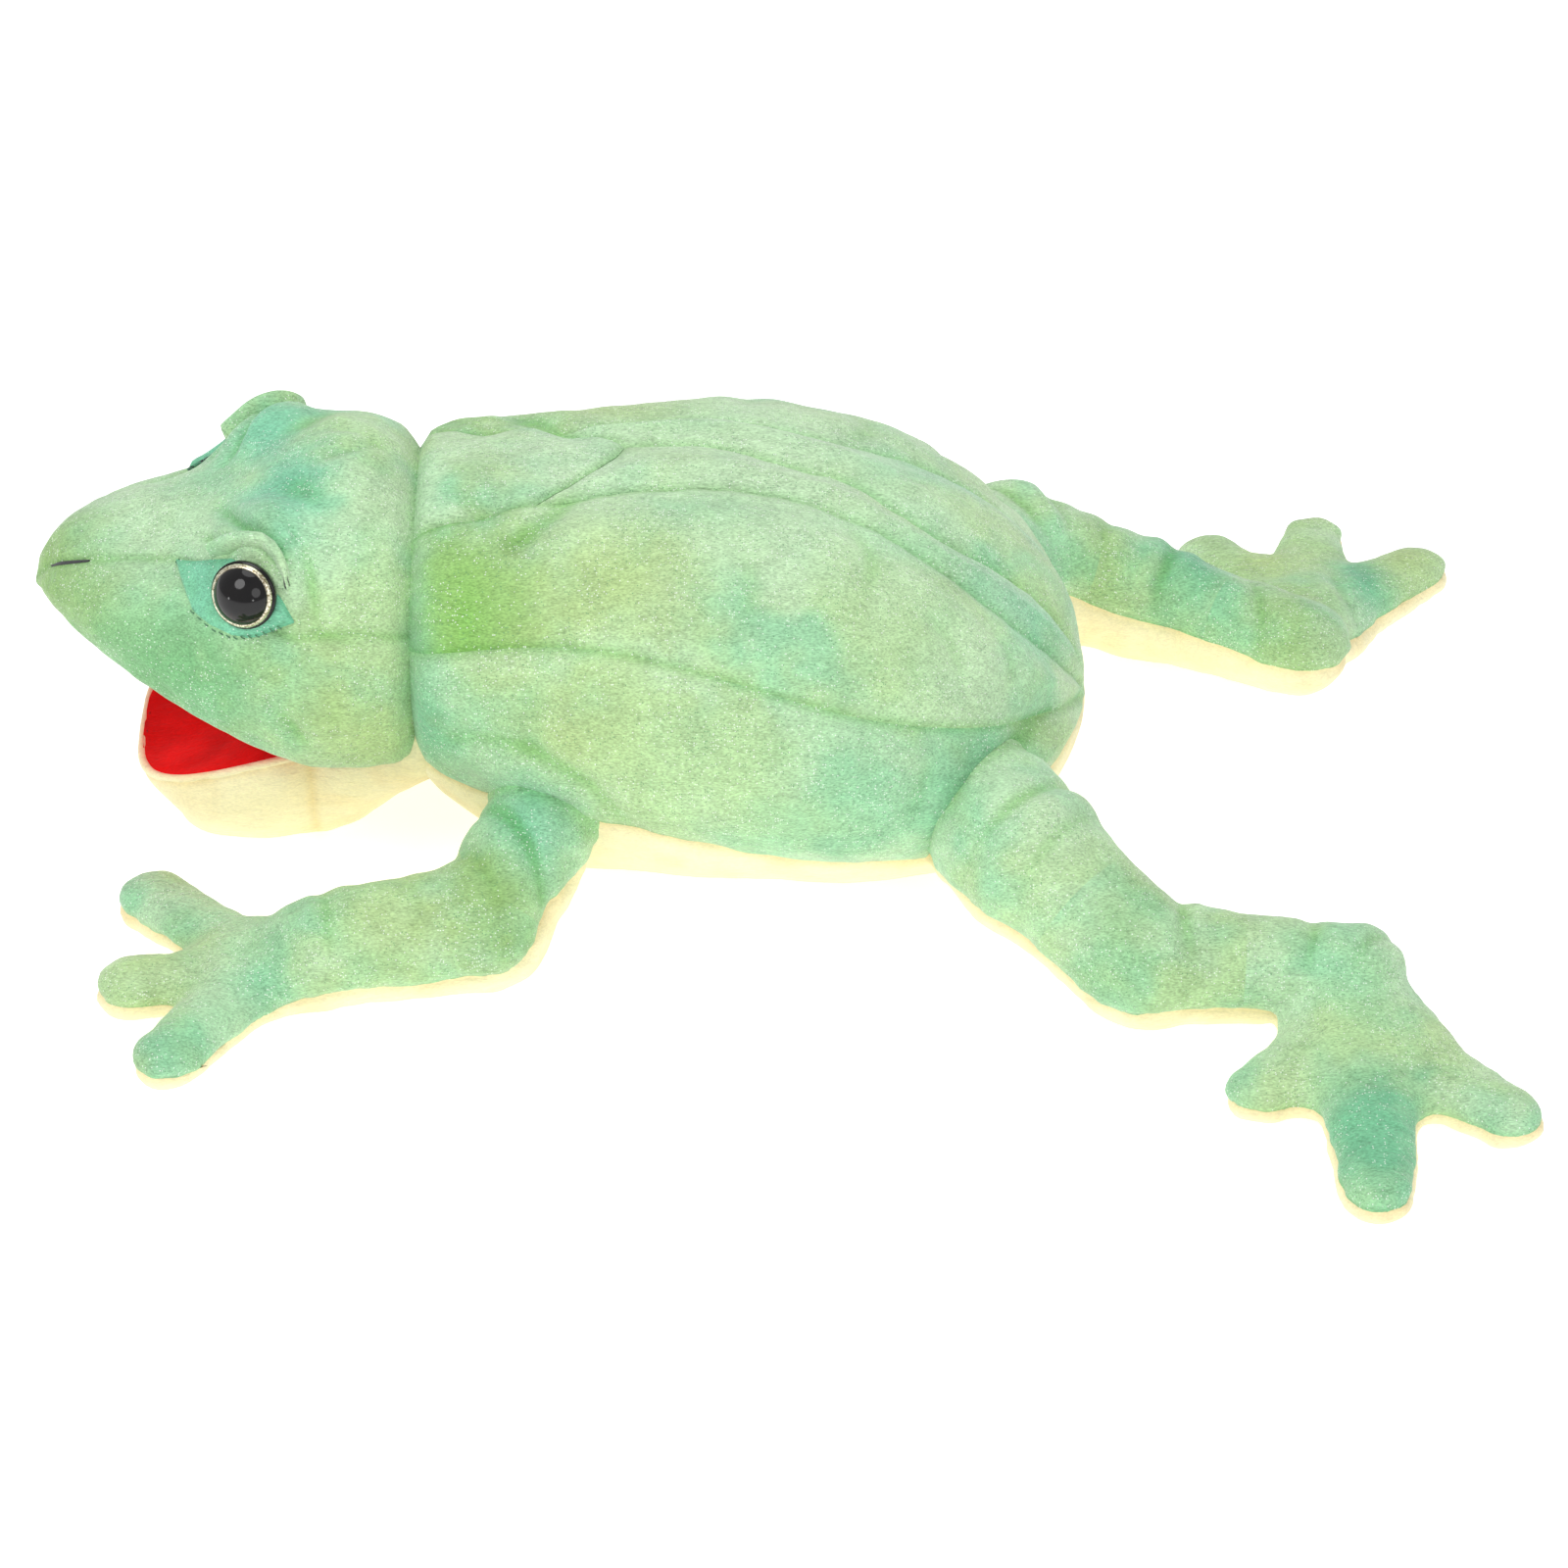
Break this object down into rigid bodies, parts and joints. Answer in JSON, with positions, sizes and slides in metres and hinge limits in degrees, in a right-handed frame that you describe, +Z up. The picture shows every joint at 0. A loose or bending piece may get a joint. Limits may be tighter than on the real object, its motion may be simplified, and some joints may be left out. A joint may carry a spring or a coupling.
{
  "type": "hand puppet",
  "caption": "Plush frog hand puppet lying on its belly, with a moving mouth, soft jointed limbs and a hand entry under the body",
  "frame": {"origin": "on the flat of the belly, on the frog's middle plane, between the arms and the legs", "axes": "-Y towards the nose, +X the frog's left side, +Z up"},
  "size_m": [0.353, 0.4209, 0.1249],
  "materials": {
    "green_pile": "short tie-dyed pile",
    "turquoise_pile": "short pile",
    "cream_pile": "short pile",
    "red_lining": "brushed knit",
    "lining_cotton": "plain weave",
    "filling": "fibre fill",
    "eye_black": "gloss",
    "eye_glitter": "glitter",
    "washer_plastic": "matte",
    "black_thread": "thread"
  },
  "bodies": {
    "body": {"neck_yoke": "green_pile", "belly_panel": "cream_pile", "hand_sleeve": "lining_cotton", "opening_hem": "lining_cotton", "back_filling": "filling", "side_fillings": "filling", "rump_filling": "filling", "left_back_strip": "green_pile", "left_hump_panel": "green_pile", "left_flank_panel": "green_pile", "right_back_strip": "green_pile", "right_hump_panel": "green_pile", "right_flank_panel": "green_pile"},
    "head": {"crown_panel": "green_pile", "throat_panel": "cream_pile", "palate_lining": "red_lining", "crown_filling": "filling", "finger_pocket": "lining_cotton", "eye_patches": "turquoise_pile", "brow_folds": "green_pile", "eyes": "eye_black", "eye_rings": "eye_glitter", "eye_washers": "washer_plastic", "nostril_stitches": "black_thread", "left_cheek_panel": "green_pile", "right_cheek_panel": "green_pile"},
    "jaw": {"chin_panel": "cream_pile", "jaw_lining": "red_lining", "chin_filling": "filling", "thumb_pocket": "lining_cotton"},
    "left_upper_arm": {"left_upper_arm_top": "green_pile", "left_upper_arm_under": "cream_pile"},
    "left_forearm": {"left_forearm_top": "green_pile", "left_forearm_under": "cream_pile", "left_forearm_filling": "filling"},
    "left_thigh": {"left_thigh_top": "green_pile", "left_thigh_under": "cream_pile", "left_thigh_filling": "filling"},
    "left_shin": {"left_shin_top": "green_pile", "left_shin_under": "cream_pile", "left_shin_filling": "filling"},
    "left_foot": {"left_foot_top": "green_pile", "left_foot_under": "cream_pile", "left_foot_filling": "filling"},
    "right_upper_arm": {"right_upper_arm_top": "green_pile", "right_upper_arm_under": "cream_pile"},
    "right_forearm": {"right_forearm_top": "green_pile", "right_forearm_under": "cream_pile", "right_forearm_filling": "filling"},
    "right_thigh": {"right_thigh_top": "green_pile", "right_thigh_under": "cream_pile", "right_thigh_filling": "filling"},
    "right_shin": {"right_shin_top": "green_pile", "right_shin_under": "cream_pile", "right_shin_filling": "filling"},
    "right_foot": {"right_foot_top": "green_pile", "right_foot_under": "cream_pile", "right_foot_filling": "filling"}
  },
  "joints": [
    {"name": "head_nod", "type": "hinge", "parent": "body", "child": "head", "pos_m": [0, -0.098, 0.0725], "axis": [1, 0, 0], "range_deg": [-8, 8]},
    {"name": "jaw_hinge", "type": "hinge", "parent": "head", "child": "jaw", "pos_m": [0, -0.127, 0.045], "axis": [1, 0, 0], "range_deg": [-30, 6]},
    {"name": "left_shoulder", "type": "hinge", "parent": "body", "child": "left_upper_arm", "pos_m": [0.08, -0.062, 0.034], "axis": [0, 0, 1], "range_deg": [-5, 30]},
    {"name": "left_elbow", "type": "hinge", "parent": "left_upper_arm", "child": "left_forearm", "pos_m": [0.088, -0.076, 0.018], "axis": [0, 0, 1], "range_deg": [-5, 30]},
    {"name": "left_hip", "type": "hinge", "parent": "body", "child": "left_thigh", "pos_m": [0.08, 0.077, 0.036], "axis": [0, 0, 1], "range_deg": [-25, 20]},
    {"name": "left_knee", "type": "hinge", "parent": "left_thigh", "child": "left_shin", "pos_m": [0.107, 0.108, 0.019], "axis": [0, 0, 1], "range_deg": [-30, 15]},
    {"name": "left_ankle", "type": "hinge", "parent": "left_shin", "child": "left_foot", "pos_m": [0.112, 0.164, 0.018], "axis": [0, 0, 1], "range_deg": [-15, 12]},
    {"name": "right_shoulder", "type": "hinge", "parent": "body", "child": "right_upper_arm", "pos_m": [-0.08, -0.062, 0.034], "axis": [0, 0, 1], "range_deg": [-30, 5]},
    {"name": "right_elbow", "type": "hinge", "parent": "right_upper_arm", "child": "right_forearm", "pos_m": [-0.088, -0.076, 0.018], "axis": [0, 0, 1], "range_deg": [-30, 5]},
    {"name": "right_hip", "type": "hinge", "parent": "body", "child": "right_thigh", "pos_m": [-0.08, 0.077, 0.036], "axis": [0, 0, 1], "range_deg": [-3, 25]},
    {"name": "right_knee", "type": "hinge", "parent": "right_thigh", "child": "right_shin", "pos_m": [-0.08, 0.121, 0.019], "axis": [0, 0, 1], "range_deg": [-4, 35]},
    {"name": "right_ankle", "type": "hinge", "parent": "right_shin", "child": "right_foot", "pos_m": [-0.056, 0.163, 0.018], "axis": [0, 0, 1], "range_deg": [-15, 3]}
  ]
}
